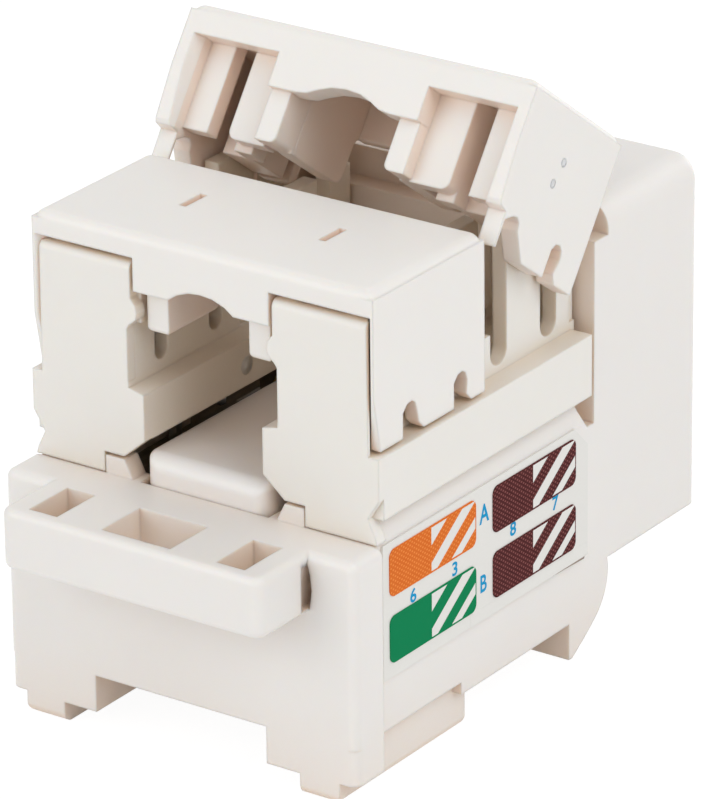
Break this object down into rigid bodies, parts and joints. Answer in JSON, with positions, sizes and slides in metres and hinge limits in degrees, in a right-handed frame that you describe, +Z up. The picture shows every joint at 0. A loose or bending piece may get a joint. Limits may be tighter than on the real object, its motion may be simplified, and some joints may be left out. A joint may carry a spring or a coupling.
{
  "type": "keystone jack",
  "caption": "Tool-less modular keystone jack with hinged and press-down wire caps, cable channel, tie bar, wiring labels and an eight-way plug socket.",
  "frame": {"origin": "centre of the front block's plug face, which lies flush in the panel cut-out", "axes": "+Y out of the plug face towards the plug, -Y to the cable side, +Z up away from the feet towards the wire caps, +X across to the side with the orange, green and brown label"},
  "size_m": [0.0176, 0.0295, 0.027],
  "materials": {
    "housing_plastic": "satin",
    "cap_plastic": "satin",
    "insert_plastic": "satin",
    "comb_plastic": "matt",
    "board": "satin",
    "gold_contact": "polished",
    "tinned_contact": "satin",
    "label_paper": "matt",
    "print_orange": "matt",
    "print_green": "matt",
    "print_brown": "matt",
    "print_blue": "matt"
  },
  "bodies": {
    "jack": {"main_housing": "housing_plastic", "wire_carrier": "housing_plastic", "circuit_board": "board", "contact_insert": "insert_plastic", "contact_comb": "comb_plastic", "spring_contact_1": "gold_contact", "spring_contact_2": "gold_contact", "spring_contact_3": "gold_contact", "spring_contact_4": "gold_contact", "spring_contact_5": "gold_contact", "spring_contact_6": "gold_contact", "spring_contact_7": "gold_contact", "spring_contact_8": "gold_contact", "wire_contact_right_1": "tinned_contact", "wire_contact_right_2": "tinned_contact", "wire_contact_right_3": "tinned_contact", "wire_contact_right_4": "tinned_contact", "wire_contact_left_1": "tinned_contact", "wire_contact_left_2": "tinned_contact", "wire_contact_left_3": "tinned_contact", "wire_contact_left_4": "tinned_contact", "label_right": "label_paper", "label_left": "label_paper", "field_orange_right": "print_orange", "field_green_right": "print_green", "field_brown_right": "print_brown", "field_green_left": "print_green", "field_orange_left": "print_orange", "field_blue_left": "print_blue"},
    "front_cap_body": {"front_cap": "cap_plastic"},
    "rear_cap_body": {"rear_cap": "cap_plastic"}
  },
  "joints": [
    {"name": "front_cap_lift", "type": "slide", "parent": "jack", "child": "front_cap_body", "axis": [0, 0, 1], "range_m": [0, 0.005]},
    {"name": "rear_cap_hinge", "type": "hinge", "parent": "jack", "child": "rear_cap_body", "pos_m": [0, -0.00615, 0.00705], "axis": [1, 0, 0], "range_deg": [-4, 36]}
  ]
}
